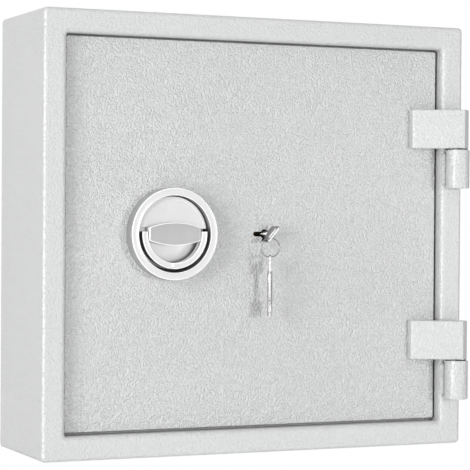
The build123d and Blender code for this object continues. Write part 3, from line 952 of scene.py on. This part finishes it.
class Handle(SubAssembly):
    """Recessed turning handle with its folding bail."""

    members = ("handle_escutcheon", "escutcheon_screws", "spindle_bush", "handle_rotor", "bail_pins",
               "handle_bail", "crank_disc", "crank_pin", "crank_screw")
    sizes = HandleSizes()

    def refine(self) -> None:
        """Rebuild the ring, the dial, the grip and the bail with round edges."""
        low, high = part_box("handle_escutcheon")
        self.centre = (low + high) / 2
        self.front, self.back, self.radius = low.y, high.y, (high.x - low.x) / 2
        self._ring()
        self._dial()
        self._raised_half()
        self._grip()
        self._bail()

    def _ring(self) -> None:
        """Heavy outer ring, rounded outside and chamfered at the bore."""
        shape = bmesh.new()
        lathe(shape, self.centre, [(self.sizes.bore, self.front), (self.radius, self.front),
                                   (self.radius, self.back), (self.sizes.bore, self.back)], closed=True)
        rims = [e for e in shape.edges
                if is_sharp(e) and all(abs(v.co.y - self.front) < SAME_SPOT for v in e.verts)]
        outer = [e for e in rims if all(self._outside(v) for v in e.verts)]
        bore = [e for e in rims if all(self._at_bore(v) for v in e.verts)]
        # Painted shade: the bore wall and the outer wall take darker copies of the chrome; painted highlight:
        # the rounded rims take the near-white rim finish.
        for face in shape.faces:
            if all(self._at_bore(v) for v in face.verts):
                face.material_index = 2
            elif all(self._outside(v) for v in face.verts):
                face.material_index = 3
        round_edges(shape, self.sizes.ring_round, self.sizes.ring_steps, outer, 1)
        round_edges(shape, self.sizes.bore_chamfer, 2, bore, 1)
        self.finish("handle_ring", shape, Body.DOOR, "satin_chrome", ["handle_escutcheon"],
                    ("satin_chrome", "painted_highlight_rim", "bore_painted_shade", "outer_wall_painted_shade"))

    def _radius_of(self, vert: bmesh.types.BMVert) -> float:
        """Distance of a vertex from the handle's axis."""
        return math.hypot(vert.co.x - self.centre.x, vert.co.z - self.centre.z)

    def _at_bore(self, vert: bmesh.types.BMVert) -> bool:
        """Whether a vertex lies on the ring's bore."""
        return self._radius_of(vert) < self.sizes.bore + ON_RADIUS

    def _outside(self, vert: bmesh.types.BMVert) -> bool:
        """Whether a vertex lies on the ring's outer wall."""
        return self._radius_of(vert) > self.radius - ON_RADIUS

    def _dial(self) -> None:
        """Base disc with its hub, and a black ring round it that paints the shade of the deep gap."""
        size, front = self.sizes, self.front
        shape = bmesh.new()
        lathe(shape, self.centre, [(0, front + size.base_front), (size.base_radius, front + size.base_front),
                                   (size.base_radius, front + size.base_back),
                                   (size.hub_radius, front + size.base_back),
                                   (size.hub_radius, front + size.hub_back), (0, front + size.hub_back)])
        round_edges(shape, size.base_round, 2, [e for e in shape.edges if is_sharp(e)])
        self.finish("dial_base", shape, Body.HANDLE, "satin_chrome", ["handle_rotor"], ("dial_face",))
        # Black ring: painted shade in the deep gap between the dial and the outer ring.
        gap_shade_ring, inner = bmesh.new(), size.base_radius - size.gap_shade_tuck
        lathe(gap_shade_ring, self.centre, [(inner, front + size.gap_shade_front),
                                   (size.gap_shade_radius, front + size.gap_shade_front),
                                   (size.gap_shade_radius, front + size.base_back),
                                   (inner, front + size.base_back)], closed=True)
        self.finish("dial_gap_shade_ring", gap_shade_ring, Body.HANDLE, "satin_chrome", (), ("gap_painted_shade",))

    def _raised_half(self) -> None:
        """Upper half of the dial, raised, with a wide chamfer in a painted highlight, lower on the right of
        the grip.
        """
        size = self.sizes
        half = [(self.centre.z + size.raised_from, (0, 0, 1))]
        ear = [(self.centre.z + size.ear_from, (0, 0, 1)),
               (-self.centre.z - size.raised_from, (0, 0, -1)),
               (self.centre.x + size.grip_half + size.ear_gap, (1, 0, 0))]
        for name, cuts in (("dial_raised_half", half), ("dial_raised_ear", ear)):
            self.finish(name, self._raised_sector(cuts), Body.HANDLE, "satin_chrome", (),
                        ("dial_face", "painted_highlight_rim"), size.raised_crease)

    def _raised_sector(self, cuts: Sequence[tuple[float, tuple[int, int, int]]]) -> bmesh.types.BMesh:
        """Cone-edged disc cut down by planes.

        Args:
            cuts: for each plane its distance along the normal, and the normal; that side is kept.

        Returns:
            The closed shape, its chamfer in material 1.
        """
        size, front = self.sizes, self.front
        shape = bmesh.new()
        lathe(shape, self.centre, [(0, front + size.raised_front),
                                   (size.raised_inner, front + size.raised_front),
                                   (size.raised_outer, front + size.raised_shoulder),
                                   (size.raised_outer, front + size.raised_back),
                                   (0, front + size.raised_back)])
        for face in shape.faces:
            depth = face.calc_center_median().y - front
            if size.raised_front + ON_PLANE < depth < size.raised_shoulder - ON_PLANE:
                face.material_index = 1
        for distance, normal in cuts:
            bmesh.ops.bisect_plane(shape, geom=shape.verts[:] + shape.edges[:] + shape.faces[:],
                                   plane_co=Vector(normal) * distance, plane_no=normal, clear_inner=True)
            for face in bmesh.ops.holes_fill(shape, edges=[e for e in shape.edges if e.is_boundary])["faces"]:
                face.material_index = 0
        return shape

    def _grip(self) -> None:
        """Lens-shaped bar across the dial that takes the bail's pins."""
        size = self.sizes
        shape = bmesh.new()
        deep = size.raised_back
        bmesh.ops.create_cube(shape, size=1.0, matrix=Matrix.Diagonal((2 * size.grip_half, deep, 2.0, 1)))
        long_edges = [e for e in shape.edges if abs(e.verts[0].co.x - e.verts[1].co.x) > size.grip_half]
        bmesh.ops.subdivide_edges(shape, edges=long_edges, cuts=size.grip_cuts, use_grid_fill=True)
        sag = size.grip_mid - size.grip_end
        arc = (size.grip_half ** 2 + sag ** 2) / (2 * sag)
        for vert in shape.verts:
            half = math.sqrt(arc ** 2 - vert.co.x ** 2) - arc + size.grip_mid
            vert.co.z = math.copysign(half, vert.co.z)
        # Painted highlight: the bar's end faces and its rounded rim take the near-white rim finish.
        for face in shape.faces:
            if abs(face.normal.x) > 0.9:
                face.material_index = 1
        shape.normal_update()
        rim = [e for e in shape.edges if is_sharp(e) and all(v.co.y < 0 for v in e.verts)]
        round_edges(shape, size.grip_round, 3, rim, 1)
        bmesh.ops.translate(shape, verts=shape.verts,
                            vec=(self.centre.x, self.front + deep / 2, self.centre.z))
        self.finish("dial_grip_bar", shape, Body.HANDLE, "satin_chrome", (),
                    ("brushed_grip", "painted_highlight_rim"))

    def _bail(self) -> None:
        """Half-ring pull with short arms and a thumb notch at its lowest point."""
        size = self.sizes
        low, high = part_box("handle_bail")
        outer = (high.x - low.x) / 2
        shape = bmesh.new()
        corners = [(size.bail_inner, low.y), (outer, low.y), (outer, high.y), (size.bail_inner, high.y)]
        start = shape.faces.new([shape.verts.new((self.centre.x + r, y, self.centre.z)) for r, y in corners])
        swept = bmesh.ops.spin(shape, geom=[start], cent=(self.centre.x, 0, self.centre.z), axis=(0, 1, 0),
                               angle=math.pi, steps=size.bail_steps)["geom_last"]
        if sum(v.co.z for v in shape.verts) / len(shape.verts) > self.centre.z:
            for vert in shape.verts:
                vert.co.z = 2 * self.centre.z - vert.co.z
        ends = [start] + [f for f in swept if isinstance(f, bmesh.types.BMFace)]
        for end in ends:
            made = bmesh.ops.extrude_face_region(shape, geom=[end])["geom"]
            bmesh.ops.translate(shape, verts=[v for v in made if isinstance(v, bmesh.types.BMVert)],
                                vec=(0, 0, size.bail_arm))
        bmesh.ops.delete(shape, geom=[f for f in ends if f.is_valid], context="FACES_ONLY")
        bmesh.ops.remove_doubles(shape, verts=shape.verts, dist=SPUN_SPOT)
        bmesh.ops.recalc_face_normals(shape, faces=shape.faces)
        front_rim = [e for e in shape.edges
                     if is_sharp(e) and all(v.co.y < low.y + SAME_SPOT for v in e.verts)]
        # Painted highlight: the rounded front rim takes the near-white rim finish.
        round_edges(shape, size.bail_round, 3, front_rim, 1)
        notch_at = Vector((self.centre.x, low.y - size.notch_proud, self.centre.z - outer - size.notch_below))
        for vert in shape.verts:
            away = math.hypot(vert.co.x - notch_at.x, vert.co.z - notch_at.z)
            if away < size.notch and vert.co.y < low.y + size.notch_reach:
                depth = notch_at.y + math.sqrt(size.notch ** 2 - away ** 2)
                vert.co.y = max(vert.co.y, min(depth, low.y + size.notch_depth))
        self.finish("handle_bail_round", shape, Body.BAIL, "satin_chrome", ["handle_bail"],
                    ("satin_chrome", "painted_highlight_rim"))


class BoltWork(SubAssembly):
    """Sliding bar, its guides and the locking bolts."""

    members = ("bolt_bar", "bolt_screws", "locking_bolts", "bar_guide_studs", "bolt_guide_bushes")


class Lock(SubAssembly):
    """Lever lock behind the door."""

    members = ("lock_case", "lock_cover", "lock_screws", "lock_bolt", "lever_pack", "lever_post",
               "lever_springs", "curtain_plate", "lock_curtain")


@dataclass(frozen=True)
class KeySizes:
    """The ring's wire in metres, its facets, and how squarely a face must look outward to get the painted
    highlight.
    """

    wire: float = 0.0005
    lit_face_cos: float = 0.7
    around: int = 160
    across: int = 14


class Keys(SubAssembly):
    """Key in the lock, the wire ring and the spare key."""

    members = ("key", "spare_key", "key_ring")
    sizes = KeySizes()

    def refine(self) -> None:
        """Paint a highlight on the keys' outward faces and shade on the rest, and round the wire ring."""
        self._paint_lit_faces("key", Body.KEY, Vector((0, -1, 0)))
        low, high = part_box("spare_key")
        blade = Vector((high.x - low.x, high.y - low.y, 0)).normalized()
        self._paint_lit_faces("spare_key", Body.SPARE, Vector((-blade.x, -blade.y, 0)))
        self._wire_ring()

    def _paint_lit_faces(self, name: str, body: Body, toward: Vector) -> None:
        """Copy a key with a painted highlight on the faces that look one way and painted shade on the rest.

        Args:
            name: the CAD node.
            body: what it rides on.
            toward: the way the highlighted faces look.
        """
        shape = bmesh.new()
        shape.from_mesh(self.nodes[name].data)
        bmesh.ops.remove_doubles(shape, verts=shape.verts, dist=SAME_SPOT)
        bmesh.ops.recalc_face_normals(shape, faces=shape.faces)
        # Painted light: faces that look the given way get the bright nickel, the rest the dark nickel_key
        # tone.
        for face in shape.faces:
            face.material_index = int(face.normal.dot(toward) > self.sizes.lit_face_cos)
        self.finish(f"{name}_painted_lit_faces", shape, body, "nickel_key", [name], ("nickel_key", "nickel_painted_highlight"))

    def _wire_ring(self) -> None:
        """Replace the faceted ring by a smooth one of the same size and turn."""
        low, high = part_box("key_ring")
        centre = (low + high) / 2
        size = self.sizes
        middle = (high.z - low.z) / 2 - size.wire
        turn = math.atan2(high.y - low.y - 2 * size.wire, high.x - low.x - 2 * size.wire)
        shape = bmesh.new()
        made = bmesh.ops.create_circle(shape, segments=size.across, radius=size.wire)["verts"]
        bmesh.ops.translate(shape, verts=made, vec=(middle, 0, 0))
        bmesh.ops.spin(shape, geom=shape.verts[:] + shape.edges[:], cent=(0, 0, 0), axis=(0, 1, 0),
                       angle=2 * math.pi, steps=size.around, use_merge=True)
        bmesh.ops.rotate(shape, verts=shape.verts, cent=(0, 0, 0), matrix=Matrix.Rotation(-turn, 3, "Z"))
        bmesh.ops.translate(shape, verts=shape.verts, vec=centre)
        self.finish("key_ring_round", shape, Body.RING, "ring_wire", ["key_ring"])


@dataclass(frozen=True)
class MatSizes:
    """The felt mat's grid, the height of its wave in metres and the wave's turns in radians per metre."""

    cells_x: int = 90
    cells_y: int = 24
    wave: float = 0.00025
    clearance: float = 1.2
    turns_x: float = 95.0
    turns_y: float = 140.0
    turns_skew: float = 30.0


class Interior(SubAssembly):
    """Shelf on its brackets and the felt floor mat."""

    members = ("shelf", "shelf_brackets", "floor_mat")
    sizes = MatSizes()

    def refine(self) -> None:
        """Replace the flat mat by one with a slightly uneven top."""
        low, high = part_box("floor_mat")
        size = self.sizes
        shape = bmesh.new()
        bmesh.ops.create_grid(shape, x_segments=size.cells_x, y_segments=size.cells_y, size=0.5)
        lower = size.wave * size.clearance
        for vert in shape.verts:
            at_x = low.x + (vert.co.x + 0.5) * (high.x - low.x)
            at_y = low.y + (vert.co.y + 0.5) * (high.y - low.y)
            ripple = math.sin(at_x * size.turns_x) * math.cos(at_y * size.turns_y + at_x * size.turns_skew)
            vert.co = Vector((at_x, at_y, high.z - lower + size.wave * ripple))
        bmesh.ops.solidify(shape, geom=shape.faces[:], thickness=high.z - low.z - 2 * lower)
        self.finish("floor_mat_felt", shape, Body.SAFE, "grey_felt", ["floor_mat"])


def main() -> None:
    """Build the studio and the safe."""
    logging.basicConfig(level=logging.INFO, format="%(message)s")
    for stray in list(bpy.data.objects):
        bpy.data.objects.remove(stray)
    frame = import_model()
    Studio().build()
    finishes = Finishes()
    for assembly in (Casing, Hinges, Door, Handle, BoltWork, Lock, Keys, Interior):
        assembly(frame, finishes).build()


if __name__ == "__main__":
    main()
